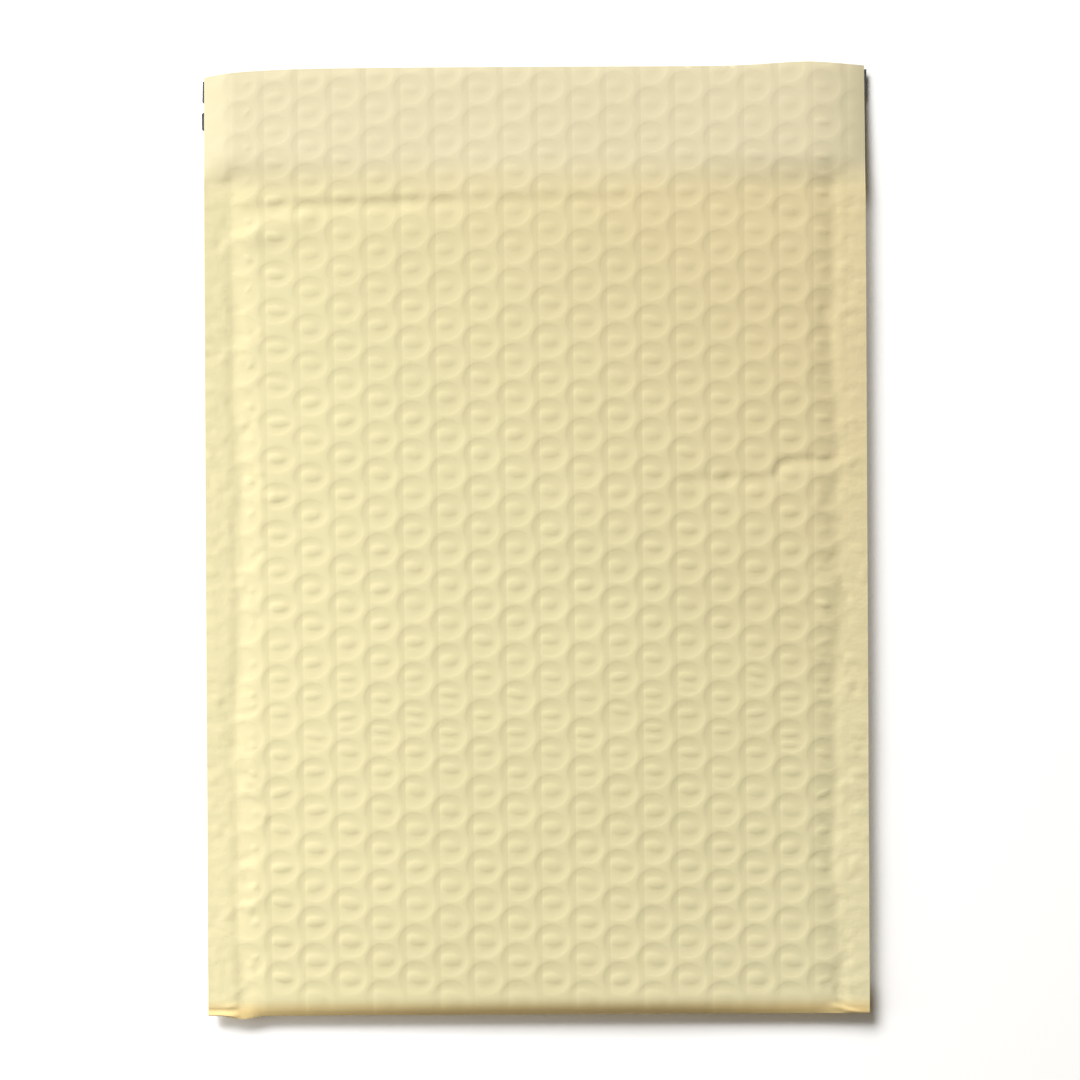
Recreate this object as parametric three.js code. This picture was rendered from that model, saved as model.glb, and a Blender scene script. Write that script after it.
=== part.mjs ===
// An empty padded mailing envelope, lying face down with its flap open.
// Lengths are in millimetres. X runs across the envelope, +Y points to the flap and +Z is up.
// The origin is on the table, under the middle of the envelope.
import * as THREE from 'three';
import { mergeVertices } from 'three/addons/utils/BufferGeometryUtils.js';

// Overall sizes
const bodyWidth = 216;
const bodyLength = 279; // from the folded bottom to the pocket's mouth
const flapLength = 30; // from the mouth to the flap's cut end

// The web: outer film with the bubble lining bonded to it
const webThickness = 3;
const pressedThickness = 0.6; // one web where a seal has pressed its bubbles flat
const pocketGap = 2; // height of the empty pocket in the middle
const mouthGap = 1.3; // height of the pocket at its mouth

// Seals, fold and crease
const sealWidth = 9.5;
const sealHeight = 5; // from the table to the middle of a seal, at its inner edge
const sealCurl = 0.2; // how much higher a seal's cut edge is
const shoulderRise = 0.9; // step of the back panel beside a seal
const shoulderRun = 8.5;
const frontShoulderRun = 12; // from a seal to where the front panel lies on the table
const foldRun = 7.2; // length over which the panels come together at the folded bottom
const pocketTaper = 8; // length over which the pocket closes towards its edges
const creaseToMouth = 12.5; // from the crease, where the back panel starts to fall, to the mouth

// The flap, which springs clear of the table, and its cut edges, where the web is pressed
const flapTipHeight = 2.6; // from the table to the flap's inner face at its cut end
const flapSideThickness = 0.8;
const flapSideRun = 9.5; // from a side to where the flap has its full thickness
const flapEndDrop = 0.5; // how much thinner the flap is at its cut end
const flapEndRun = 4;

// Bubbles, in columns that are staggered by half a row
const columnPitch = 11.13;
const rowPitch = 12.21;
const flapRowPitch = 11.05; // the rows lie closer where the film bends down to the table
const closeRowsLead = 3; // from the first of those closer rows to the mouth
const firstRow = 6.3; // from the folded bottom to the first row
const bubbleDiameter = 8.6;
const ringDepth = 0.5; // the round groove of a bubble on the back panel and flap
const crownDepth = 0.1; // the raised middle of such a bubble, below the film around it
const dimpleDepth = 0.45; // the hollow of a bubble on the front panel
const plainMargin = 1; // film without bubbles beside the fold and the cut edges

// Closure under the flap: glue strip and release liner
const adhesiveWidth = 10;
const adhesiveThickness = 0.2;
const adhesiveEndMargin = 4; // from the end of the glue to the flap's side
const linerWidth = 20;
const linerThickness = 0.15;
const linerInset = 1; // from the flap's cut end to the liner
const linerOverhang = 1.1; // how far the liner's ends stick out beside the flap
const filmClearance = 0.3; // between stacked films

// Places of the lines that round the fold, from its edge to where it is level
const foldParts = [0, 0.2, 0.5, 1];

// Sizes that follow from the ones above
const halfWidth = bodyWidth / 2;
const foldY = -(bodyLength + flapLength) / 2;
const mouthY = foldY + bodyLength;
const flapEndY = mouthY + flapLength;
const foldTangentY = foldY + foldRun;
const creaseY = mouthY - creaseToMouth;
const sealEdgeX = halfWidth - sealWidth;
const bodyHeight = 2 * webThickness + pocketGap;
const crownRise = bodyHeight - sealHeight - pressedThickness - shoulderRise; // swelling of the back panel
const pocketX = sealEdgeX - shoulderRun / 2;
const pocketY = foldTangentY + webThickness;

// The flap's inner face is a plane, from the pocket's mouth to the cut end
const flapRootHeight = webThickness + mouthGap;
const flapSlope = Math.atan2(flapRootHeight - flapTipHeight, flapLength);

const { lerp, clamp, smoothstep } = THREE.MathUtils;

// Rises from 0 to 1 and is level at its far end
function arch(value) {
  const part = clamp(value, 0, 1);
  return part * (2 - part);
}

// Distance from the inner edge of a seal towards the middle, negative on the seal
function insideSeal(x) {
  return sealEdgeX - Math.abs(x);
}

function sealZ(x) {
  return sealHeight + sealCurl * arch(-insideSeal(x) / sealWidth);
}

// 0 on the seals and 1 where the front panel lies on the table
function frontShoulder(x) {
  return arch(insideSeal(x) / frontShoulderRun);
}

function bodyTop(x) {
  const step = shoulderRise * smoothstep(insideSeal(x), 0, shoulderRun);
  return sealZ(x) + pressedThickness + step + crownRise * arch(insideSeal(x) / sealEdgeX);
}

function bodyMiddle(x) {
  return lerp(sealZ(x), bodyHeight / 2, frontShoulder(x));
}

function flapInner(y) {
  return lerp(flapRootHeight, flapTipHeight, (y - mouthY) / flapLength);
}

function flapTop(x, y) {
  const side = arch((halfWidth - Math.abs(x)) / flapSideRun);
  const end = arch((flapEndY - y) / flapEndRun);
  const thickness = lerp(flapSideThickness, webThickness, side);
  return flapInner(y) + thickness - flapEndDrop * (1 - end) * side;
}

// 0 on the body and 1 on the flap
function ontoFlap(y) {
  return smoothstep(y, creaseY, mouthY);
}

// 0 at the edge of the folded bottom and 1 where the panels are level
function foldRounding(y) {
  return arch((y - foldY) / foldRun);
}

function backZ(x, y) {
  const unfolded = lerp(bodyTop(x), flapTop(x, y), ontoFlap(y));
  return lerp(bodyMiddle(x), unfolded, foldRounding(y));
}

function frontZ(x, y) {
  const seal = lerp(sealZ(x), flapRootHeight, ontoFlap(y));
  const unfolded = lerp(seal - pressedThickness, 0, frontShoulder(x));
  return lerp(bodyMiddle(x), unfolded, foldRounding(y));
}

// 0 at the pocket's closed edges and 1 where it is open
function pocketOpening(x, y) {
  const across = clamp((pocketX - Math.abs(x)) / pocketTaper, 0, 1);
  const along = clamp((y - pocketY) / pocketTaper, 0, 1);
  return across * along;
}

// Height of the pocket's closed edges, which is also the flap's inner face past the mouth
function closedZ(x, y) {
  if (y >= mouthY) return flapInner(y);
  return (backZ(x, y) + frontZ(x, y)) / 2;
}

function backLiningPoint(x, y) {
  const open = y < mouthY ? backZ(x, y) - webThickness : flapInner(y);
  return new THREE.Vector3(x, y, lerp(closedZ(x, y), open, pocketOpening(x, y)));
}

function frontLiningPoint(x, y) {
  return new THREE.Vector3(x, y, lerp(closedZ(x, y), webThickness, pocketOpening(x, y)));
}

// Triangles between two lines of points that run the same way, with line b on the left of line a.
// The lines may have different numbers of points: each step goes along the line that lags behind.
function zip(a, b, axis) {
  const facets = [];
  let i = 0;
  let j = 0;
  while (i < a.length - 1 || j < b.length - 1) {
    const stepA = j === b.length - 1 || (i < a.length - 1 && a[i + 1][axis] <= b[j + 1][axis]);
    if (stepA) {
      facets.push([a[i], a[i + 1], b[j]]);
      i += 1;
    } else {
      facets.push([a[i], b[j + 1], b[j]]);
      j += 1;
    }
  }
  return facets;
}

function turned(facets) {
  return facets.map(([a, b, c]) => [a, c, b]);
}

// Triangles between neighbouring lines of a list, each line on the left of the one before
function zipAll(lines, axis) {
  return lines.slice(1).flatMap((line, i) => zip(lines[i], line, axis));
}

// Columns of bubbles, the same number on both sides of the middle
const outerCornerOffset = (2 * columnPitch) / 3; // from a column's middle to the far corners of its cells
const halfColumns = Math.floor((halfWidth - plainMargin - outerCornerOffset) / columnPitch + 0.5);
const columns = Array.from({ length: 2 * halfColumns }, (_, k) => k);

function columnX(k) {
  return (k - halfColumns + 0.5) * columnPitch;
}

// Two lines of cell corners run beside each column, and one more lies outside the first and the last column
const cornerLineX = [
  columnX(0) - outerCornerOffset,
  ...columns.flatMap((k) => [columnX(k) - columnPitch / 3, columnX(k) + columnPitch / 3]),
  columnX(columns.length - 1) + outerCornerOffset,
];

// Distance from the fold, counted in half rows of even film
function evenRows(half) {
  return firstRow + (half * rowPitch) / 2;
}

// The same on the back panel, where the rows close up towards the flap
function closingRows(half) {
  const even = evenRows(half);
  const start = bodyLength - closeRowsLead;
  return even < start ? even : start + ((even - start) * flapRowPitch) / rowPitch;
}

// One embossed face of the envelope, with its normals up. Every bubble fills a six-sided cell, and plain
// strips of film join the cells to the fold, to both sides and to the cut end.
function embossedFace({ endY, heightAt, rowsAt, bubble }) {
  const rowY = (half) => foldY + rowsAt(half);
  const point = (x, y) => new THREE.Vector3(x, y, heightAt(x, y));
  const corner = (line, half) => point(cornerLineX[line], rowY(half));

  // The first and last bubble of each column, counted in half rows
  const firstOf = (k) => {
    let half = k % 2;
    while (rowY(half - 1) < foldTangentY + plainMargin) half += 2;
    return half;
  };
  const lastOf = (k) => {
    let half = firstOf(k);
    while (rowY(half + 3) < endY - plainMargin) half += 2;
    return half;
  };

  const facets = [];
  for (const k of columns) {
    const left = 2 * k + 1;
    for (let half = firstOf(k); half <= lastOf(k); half += 2) {
      const rim = [
        corner(left + 2, half),
        corner(left + 1, half + 1),
        corner(left, half + 1),
        corner(left - 1, half),
        corner(left, half - 1),
        corner(left + 1, half - 1),
      ];
      facets.push(...bubble(rim, new THREE.Vector2(columnX(k), rowY(half))));
    }
  }

  // Lines of points around the cells
  const last = columns.length - 1;
  const cellsBottom = columns.flatMap((k) => [1, 2].map((side) => corner(2 * k + side, firstOf(k) - 1)));
  const cellsTop = columns.flatMap((k) => [1, 2].map((side) => corner(2 * k + side, lastOf(k) + 1)));
  const innerX = cellsBottom.map((p) => p.x);
  const lineAcross = (y) => [-halfWidth, ...innerX, halfWidth].map((x) => point(x, y));
  const foldLines = foldParts.map((part) => lineAcross(foldY + foldRun * part));
  const tangentLine = foldLines.at(-1);
  const endLine = lineAcross(endY);
  const cellsSide = (k, innerLine, outerLine) => {
    const side = [];
    for (let half = firstOf(k) - 1; half <= lastOf(k) + 1; half += 1) {
      side.push(corner((half - k) % 2 === 0 ? outerLine : innerLine, half));
    }
    return side;
  };
  const edge = (x) => {
    const outerRows = [];
    for (let half = firstOf(0); half <= lastOf(0); half += 2) outerRows.push(rowY(half));
    return [foldTangentY, ...outerRows, endY].map((y) => point(x, y));
  };
  const leftEdge = edge(-halfWidth);
  const rightEdge = edge(halfWidth);
  const leftCells = [tangentLine[1], ...cellsSide(0, 1, 0), endLine[1]];
  const rightCells = [
    tangentLine.at(-2),
    ...cellsSide(last, cornerLineX.length - 2, cornerLineX.length - 1),
    endLine.at(-2),
  ];
  facets.push(
    ...zipAll(foldLines, 'x'),
    ...zip(tangentLine.slice(1, -1), cellsBottom, 'x'),
    ...zip(cellsTop, endLine.slice(1, -1), 'x'),
    ...zip(leftCells, leftEdge, 'y'),
    ...zip(rightEdge, rightCells, 'y'),
  );
  return {
    facets,
    endLine,
    leftSide: [...foldLines.slice(0, -1).map((line) => line[0]), ...leftEdge],
    rightSide: [...foldLines.slice(0, -1).map((line) => line.at(-1)), ...rightEdge],
  };
}

// Share of a bubble's depth, 0 on the seals
function bubbleDepth(x) {
  return arch(insideSeal(x) / shoulderRun);
}

// A bubble of the back panel and flap: a round groove with a raised crown
function crownedBubble(rim, centre) {
  const radius = bubbleDiameter / 2;
  const sunk = (x, y, depth) => new THREE.Vector3(x, y, backZ(x, y) - depth * bubbleDepth(x));
  const ring = rim.map((_, i) => {
    const angle = (i / rim.length) * 2 * Math.PI;
    return sunk(centre.x + radius * Math.cos(angle), centre.y + radius * Math.sin(angle), ringDepth);
  });
  const crown = sunk(centre.x, centre.y, crownDepth);
  return rim.flatMap((corner, i) => {
    const next = (i + 1) % rim.length;
    return [
      [corner, rim[next], ring[next]],
      [corner, ring[next], ring[i]],
      [ring[i], ring[next], crown],
    ];
  });
}

// A bubble of the front panel: a shallow hollow
function hollowBubble(rim, centre) {
  const depth = dimpleDepth * bubbleDepth(centre.x);
  const hollow = new THREE.Vector3(centre.x, centre.y, frontZ(centre.x, centre.y) + depth);
  return rim.map((corner, i) => [corner, rim[(i + 1) % rim.length], hollow]);
}

// A closed solid from its triangles
function solid(facets) {
  const geometry = new THREE.BufferGeometry();
  geometry.setFromPoints(facets.flat());
  return mergeVertices(geometry);
}

function envelopeGeometry() {
  const back = embossedFace({ endY: flapEndY, heightAt: backZ, rowsAt: closingRows, bubble: crownedBubble });
  const front = embossedFace({ endY: mouthY, heightAt: frontZ, rowsAt: evenRows, bubble: hollowBubble });

  // The pocket between the two linings, closed at the fold and at both sides
  const openX = pocketX - pocketTaper;
  const pocketXs = [-pocketX, -openX, -pocketX / 3, pocketX / 3, openX, pocketX];
  const pocketYs = [pocketY, pocketY + pocketTaper, creaseY, mouthY];
  const pocketRoof = pocketYs.map((y) => pocketXs.map((x) => backLiningPoint(x, y)));
  const pocketFloor = pocketYs.map((y) => pocketXs.map((x) => frontLiningPoint(x, y)));

  // The flap's inner face, from the mouth to its cut end
  const flapLine = (y) => [-halfWidth, ...pocketXs, halfWidth].map((x) => backLiningPoint(x, y));
  const flapRoot = flapLine(mouthY);
  const flapEnd = flapLine(flapEndY);
  const frontCut = [flapRoot[0], ...pocketFloor.at(-1), flapRoot.at(-1)];

  return solid([
    ...back.facets,
    ...turned(front.facets),
    ...turned(zipAll(pocketRoof, 'x')),
    ...zipAll(pocketFloor, 'x'),
    ...turned(zip(flapRoot, flapEnd, 'x')),
    ...turned(zip(front.endLine, frontCut, 'x')),
    ...turned(zip(flapEnd, back.endLine, 'x')),
    ...turned(zip([...front.leftSide, flapRoot[0], flapEnd[0]], back.leftSide, 'y')),
    ...zip([...front.rightSide, flapRoot.at(-1), flapEnd.at(-1)], back.rightSide, 'y'),
  ]);
}

function piece(name, geometry, look) {
  const mesh = new THREE.Mesh(geometry, new THREE.MeshStandardMaterial(look));
  mesh.name = name;
  return mesh;
}

// A flat strip across the flap, at a distance from its cut end and below its inner face
function flapStrip(name, { length, width, thickness, inset, below }, look) {
  const strip = piece(name, new THREE.BoxGeometry(length, width, thickness), look);
  strip.position.set(0, -(inset + width / 2), -(below + thickness / 2));
  return strip;
}

const film = { color: 0xe9deb2, roughness: 0.55, metalness: 0 };
const glue = { color: 0xe6dcb8, roughness: 0.35, metalness: 0 };
const glossyFilm = { color: 0x2c2d30, roughness: 0.12, metalness: 0 };

const envelope = piece('padded_envelope', envelopeGeometry(), film);

const closure = new THREE.Group();
closure.position.set(0, flapEndY, flapTipHeight);
closure.rotation.x = -flapSlope;
closure.add(
  flapStrip(
    'adhesive_strip',
    {
      length: bodyWidth - 2 * adhesiveEndMargin,
      width: adhesiveWidth,
      thickness: adhesiveThickness,
      inset: linerInset + (linerWidth - adhesiveWidth) / 2,
      below: filmClearance,
    },
    glue,
  ),
  flapStrip(
    'release_liner',
    {
      length: bodyWidth + 2 * linerOverhang,
      width: linerWidth,
      thickness: linerThickness,
      inset: linerInset,
      below: 2 * filmClearance + adhesiveThickness,
    },
    glossyFilm,
  ),
);

const mailer = new THREE.Group();
mailer.add(envelope, closure);

export default mailer;
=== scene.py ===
# %% [markdown]
# # A padded mailing envelope, face down on a table
# The real mailer is one web of pale film with a bubble lining bonded to its inside. The web is
# folded once at the bottom and welded along both sides, and its upper end runs on past the pocket's
# mouth as the flap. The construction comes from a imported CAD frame. This lesson gives it the looks:
# the embossed film, the soft seals, the shiny strip under the flap, the light and the camera.

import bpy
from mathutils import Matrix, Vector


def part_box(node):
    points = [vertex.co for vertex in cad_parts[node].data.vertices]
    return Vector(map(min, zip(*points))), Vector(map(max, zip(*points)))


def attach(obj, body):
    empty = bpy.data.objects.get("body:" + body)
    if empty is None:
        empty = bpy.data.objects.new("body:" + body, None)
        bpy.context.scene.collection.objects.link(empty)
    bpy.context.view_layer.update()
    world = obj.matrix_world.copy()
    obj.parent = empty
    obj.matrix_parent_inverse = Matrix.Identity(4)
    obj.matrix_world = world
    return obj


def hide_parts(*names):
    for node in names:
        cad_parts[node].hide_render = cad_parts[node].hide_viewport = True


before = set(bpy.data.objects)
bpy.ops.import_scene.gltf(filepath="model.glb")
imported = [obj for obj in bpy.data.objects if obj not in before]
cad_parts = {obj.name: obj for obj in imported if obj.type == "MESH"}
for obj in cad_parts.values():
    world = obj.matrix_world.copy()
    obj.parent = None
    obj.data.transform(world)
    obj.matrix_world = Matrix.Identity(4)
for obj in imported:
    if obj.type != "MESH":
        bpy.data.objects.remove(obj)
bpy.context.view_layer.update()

# %% [markdown]
# ## Sizes
# Blender works in metres here, and packaging is measured in millimetres, so every length is written
# in millimetres and multiplied by `MM`. The overall sizes are read from the frame's envelope, so
# the film always fits the part it stands for. The rest are the sizes of the web itself.

# %% Sizes of the envelope
import math

import bmesh
import bpy
import numpy as np
from mathutils import Vector

MM = 0.001

envelope_low, envelope_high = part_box("padded_envelope")
half_width = envelope_high.x
fold_y = envelope_low.y
flap_end_y = envelope_high.y
body_height = envelope_high.z

flap_length = 30 * MM
mouth_y = flap_end_y - flap_length
crease_to_mouth = 12.5 * MM
crease_y = mouth_y - crease_to_mouth
fold_run = 6.6 * MM
fold_tangent_y = fold_y + fold_run

web_thickness = 3 * MM
pressed_thickness = 0.6 * MM
seal_width = 9.5 * MM
seal_edge_x = half_width - seal_width
print("envelope:", 2 * half_width, "wide,", flap_end_y - fold_y, "long,", body_height, "high")

# %% [markdown]
# ## The cross section
# Across its width the back panel starts at the welded edge, dips to the weld line, rises over a
# short shoulder and then swells slowly to the middle. One could model that with a few loops and a
# subdivision surface. Here each stretch is a small formula of the distance to the weld line
# instead, because the same formulas then place thousands of film vertices, and each stretch keeps a
# size that can be changed. A few easing curves do all the work: `ease` is level at both ends,
# `arch` is level at its far end only, and `ramp` starts level and goes on straight. `mix` runs from
# one value to another, and `hill` is a soft bump.

# %% Easing curves
def ease(value):
    part = np.clip(value, 0, 1)
    return part * part * (3 - 2 * part)


def arch(value):
    part = np.clip(value, 0, 1)
    return part * (2 - part)


def ramp(distance, run):
    part = np.clip(distance / run, 0, 1)
    return run * part * part / 2 + np.maximum(distance - run, 0)


def mix(first, second, share):
    return first + (second - first) * share


def hill(distance, half_wide):
    return np.exp(-((distance / half_wide) ** 2))


print("eased quarter:", ease(0.25), "arched quarter:", arch(0.25))

# %% [markdown]
# No welding bar presses evenly, so the weld line wanders a little. `inside_weld` is the distance
# from that line towards the middle, negative on the seal. Each wave of the line has a size, a
# length and a shift.

# %% Weld line
weld_wander = 0.75 * MM
weld_waves = ((1.4, 27 * MM, 1), (0.8, 9.1 * MM, 2.3), (0.4, 3.1 * MM, 4.1))
side_shift = 1.7


def inside_weld(x, y):
    lean = np.sign(x) * side_shift
    wander = sum(size * np.sin(y / length + turn * lean) for size, length, turn in weld_waves)
    return seal_edge_x + weld_wander * wander - np.abs(x)


weld_x = float(half_width + inside_weld(half_width, 0))
print("weld line:", round(weld_x / MM, 2), "mm from the middle")

# %% [markdown]
# The body's section is built up from the height of the welded seam. The left seal droops a little
# near the bottom. Past the crease the back panel leaves the pocket and comes down as the flap. The
# crease is stiff, so the flap springs a little clear of the table instead of lying on it.

# %% Section of the body
flap_root_height = 4.3 * MM
flap_tip_height = 2.6 * MM
flap_slope = (flap_root_height - flap_tip_height) / flap_length
crease_softness = 6 * MM
shoulder_rise = 0.65 * MM
shoulder_run = 8.5 * MM
crown_rise = 1.75 * MM
weld_dip = 0.25 * MM
weld_dip_inside = 0.6 * MM
weld_dip_run = 2.2 * MM
seal_curl = 0.2 * MM
left_seal_droop = 0.7 * MM
droop_start_y = -40 * MM
droop_run = 80 * MM
front_shoulder_run = 12 * MM
seam_height = body_height - crown_rise - shoulder_rise - pressed_thickness
middle_share = 0.59
middle_height = middle_share * body_height


def fall(y):
    return flap_slope * ramp(y - crease_y + crease_softness / 2, crease_softness)


def weld_height(x, y):
    droop = left_seal_droop * ease((-x - seal_edge_x) / seal_width)
    droop = droop * ease((droop_start_y - y) / droop_run)
    return seam_height + seal_curl * ease(-inside_weld(x, y) / seal_width) - droop - fall(y)


def body_top(x, y):
    inside = inside_weld(x, y)
    swell = shoulder_rise * ease(inside / shoulder_run) + crown_rise * arch(inside / seal_edge_x)
    dip = weld_dip * hill(inside - weld_dip_inside, weld_dip_run)
    return weld_height(x, y) + pressed_thickness + swell - dip


def front_shoulder(x):
    return arch((seal_edge_x - np.abs(x)) / front_shoulder_run)


def body_bottom(x, y):
    return mix(weld_height(x, y) - pressed_thickness, 0, front_shoulder(x))


def body_middle(x, y):
    return mix(weld_height(x, y), middle_height, front_shoulder(x))


for label, x in (("edge", half_width), ("weld line", seal_edge_x), ("middle", 0)):
    heights = [round(float(face(x, 0)) / MM, 2) for face in (body_bottom, body_top)]
    print(label, "from", heights[0], "to", heights[1], "mm high")

# %% [markdown]
# ## The flap
# The flap is a single web, so it is thinner than the body, and its sides are pressed and slope down
# to a thin edge, further in on the right. `onto_flap` goes from 0 on the body to 1 on the flap and
# blends the two sections.

# %% Section of the flap
flap_side_thickness = 0.6 * MM
flap_left_run = 9.5 * MM
flap_right_run = 18 * MM
flap_left_power = 1.35
flap_right_power = 1.6
flap_right_drop = 0.4 * MM
flap_right_drop_run = 6 * MM
flap_end_drop = 0.25 * MM
flap_end_run = 4 * MM
flap_start_y = mouth_y - 9.5 * MM
flap_start_run = 12 * MM


def flap_inner(y):
    return flap_root_height - flap_slope * (y - mouth_y)


def flap_top(x, y):
    run = np.where(x < 0, flap_left_run, flap_right_run)
    power = np.where(x < 0, flap_left_power, flap_right_power)
    side = 1 - (1 - np.clip((half_width - np.abs(x)) / run, 0, 1)) ** power
    end = arch((flap_end_y - y) / flap_end_run)
    thickness = mix(flap_side_thickness, web_thickness, side)
    right_edge = np.clip(1 - (half_width - x) / flap_right_drop_run, 0, 1)
    return flap_inner(y) + thickness - flap_end_drop * (1 - end) * side - flap_right_drop * right_edge**2


def onto_flap(y):
    return ease((y - flap_start_y) / flap_start_run)


def back_top(x, y):
    return mix(body_top(x, y), flap_top(x, y), onto_flap(y))


def back_lining(x, y):
    pocket_roof = mix(weld_height(x, y), body_height - web_thickness - fall(y), front_shoulder(x))
    return mix(pocket_roof, flap_inner(y), onto_flap(y))


for label, y in (("mouth", mouth_y), ("cut end", flap_end_y)):
    print("flap at the", label, round(float(flap_top(0, y)) / MM, 2), "mm high")

# %% [markdown]
# ## The bubbles' marks
# The lining's bubbles print through the film: each one is a shallow dish with a sharp rim, and
# inside it the film stands up again in a nub, a flat oval that starts at a straight crease and runs
# out to the right. The crease is the same for a whole column, and the columns are staggered by half
# a row. The web never runs quite straight through the machine, so the columns lean and fan out and
# the rows sag towards both sides. On the flap the rows lie closer. A displacement texture could
# draw all this, but as a formula of the place on the film it becomes real geometry.

# %% Lattice of the bubbles
column_pitch = 11.13 * MM
row_pitch = 12.21 * MM
first_row = 6.3 * MM
half_columns = 10
column_count = 2 * half_columns
bubble_rows = 27
flap_row_pitch = 11 * MM
close_rows_y = mouth_y - 3 * MM


def lattice_place(x, y):
    """Place across the columns and along the rows, as if the web were straight."""
    right = x / (100 * MM)
    up = y / (100 * MM)
    lean = 0.26 + 0.1 * up - 0.46 * right * up - 0.41 * right**2
    sag = (1.49 + 0.73 * up) * right**2 - (0.26 + 0.66 * up) * right - 0.19
    closer = (row_pitch / flap_row_pitch - 1) * np.maximum(y - close_rows_y, 0)
    return x + lean * MM, y - fold_y + sag * MM + closer


def bubble_at(x, y, next_column=0):
    straight_x, film = lattice_place(x, y)
    column = np.floor(straight_x / column_pitch) + half_columns + next_column
    column = np.clip(column, 0, column_count - 1).astype(int)
    across = straight_x - (column - half_columns + 0.5) * column_pitch
    first = first_row + (column + 1) % 2 * row_pitch / 2
    row = np.clip(np.round((film - first) / row_pitch), 0, bubble_rows - 1).astype(int)
    along = film - first - row * row_pitch
    return (column, row), across, along


print("bubbles:", column_count, "columns of about", bubble_rows - 1, "rows")

# %% [markdown]
# No two bubbles are alike on a real mailer, so a seeded generator gives each its own depth, slant
# and shift. The nubs are longest near the bottom and lowest near the flap. Towards the left side,
# where the film is pulled, they are higher and longer. `by_row` takes a value at four heights of the
# panel and runs evenly between them.

# %% Each bubble's own shape
marks = np.random.default_rng(27)
every_bubble = (column_count, bubble_rows)
row_stops = (3, 11, 16, 20)
pull_start = 6.5
pull_columns = 4


def by_row(*values):
    along = np.interp(np.arange(bubble_rows), row_stops, values)
    return np.broadcast_to(along, every_bubble)


def varied(low, high):
    return marks.uniform(low, high, every_bubble)


def scattered(spread):
    return marks.normal(0, spread, every_bubble)


pulled_left = np.clip((pull_start - np.arange(column_count)) / pull_columns, 0, 1)[:, None]
dish_depth = by_row(0.24, 0.258, 0.225, 0.185) * varied(0.85, 1.15) * MM
dish_tall = np.ones(every_bubble)
dish_wide = np.ones(every_bubble)
dish_right = (scattered(0.12) - 1.2) * MM
dish_up = (by_row(-0.47, -0.38, -0.28, -0.17) + scattered(0.12)) * MM
nub_height = by_row(0.225, 0.235, 0.215, 0.16) * varied(0.78, 1.22) * (1 + 0.22 * pulled_left) * MM
nub_long = by_row(4.8, 4.2, 4.6, 4.1) * varied(0.9, 1.1) * (1 + 0.1 * pulled_left) * MM
nub_wide = by_row(2.45, 2.3, 2.3, 2.2) * varied(0.88, 1.12) * MM
nub_right = (by_row(-1.0, -1.3, -1.2, -1.3) + scattered(0.25)) * MM
nub_up = (by_row(-0.4, -0.4, -0.15, -0.15) + scattered(0.2)) * MM
nub_slant = by_row(-0.1, -0.04, -0.07, -0.1) + scattered(0.08)
line_depth = by_row(0.035, 0.05, 0.045, 0.05) * MM
print("nubs from", round(nub_height.min() / MM, 2), "to", round(nub_height.max() / MM, 2), "mm high")

# %% [markdown]
# Some bubbles differ from the rest. Across a band near the bottom the nubs are narrow bars with a
# second, lower bar below them. On the flap the dishes are narrower and the nubs lower. On the upper
# left the dishes are pulled shorter, and one column on that side has high nubs. Next to both seals
# the nubs are small and crooked.

# %% Bubbles that differ
band_row = 7.2
band_half_rows = 1.6
bar_wide = 1.4 * MM
bar_height = 0.215 * MM
second_bar_height = 0.23 * MM
flap_first_row = 23
flap_dish_wide = 0.94
flap_nub_share = 0.75
pulled_rows = slice(10, 20)
high_column = 2
high_rows = 22
high_wide = 2 * MM
high_height = 0.29 * MM
crooked_wide = 1.4 * MM
crooked_height = 0.2 * MM

band = hill(np.arange(bubble_rows) - band_row, band_half_rows) * varied(0.6, 1)
nub_wide = mix(nub_wide, bar_wide, band)
nub_height = mix(nub_height, bar_height, band)
nub_up += band * varied(0.3, 2.6) * MM
second_height = second_bar_height * band * varied(0.2, 1)

dish_wide[:, flap_first_row:] = flap_dish_wide
nub_height[:, flap_first_row:] *= flap_nub_share
for column, height in ((2, 0.78), (3, 0.86), (4, 0.92)):
    dish_tall[column, pulled_rows] = height
nub_wide[high_column] = high_wide
nub_height[high_column, :high_rows] = high_height * marks.uniform(0.7, 1.2, high_rows)
for beside_seal, length, shift, lean in ((1, 1.8, 1.4, 0.4), (-2, 3.5, -1.2, 0.15)):
    nub_long[beside_seal] = length * MM
    nub_wide[beside_seal] = crooked_wide
    nub_right[beside_seal] = shift * MM
    nub_height[beside_seal] = crooked_height * marks.uniform(0.4, 1.3, bubble_rows)
    nub_slant[beside_seal] += marks.normal(lean / 2, lean, bubble_rows)
print("band of two bars each:", int((band.mean(axis=0) > 0.3).sum()), "rows")

# %% [markdown]
# With each bubble's own sizes known, the height of the marks at any place is a sum: the dish of the
# bubble there or of its neighbour, whichever is deeper, the nub that stands in it and the crease of
# the column. One sculpted stamp could be repeated instead, but then all bubbles would be the same.

# %% Relief of one bubble
dish_half_left = 5.65 * MM
dish_half_right = 6.25 * MM
dish_half_length = 5.7 * MM
dish_rim = 0.52
dish_power = 2.2
nub_rim = 0.82
nub_rise = 0.5 * MM
line_offset = 4.1 * MM
line_half_width = 1.3 * MM
step_height = 0.015 * MM
step_run = 0.8 * MM
second_below = 3.6 * MM
second_wide = 1.3 * MM


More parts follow.
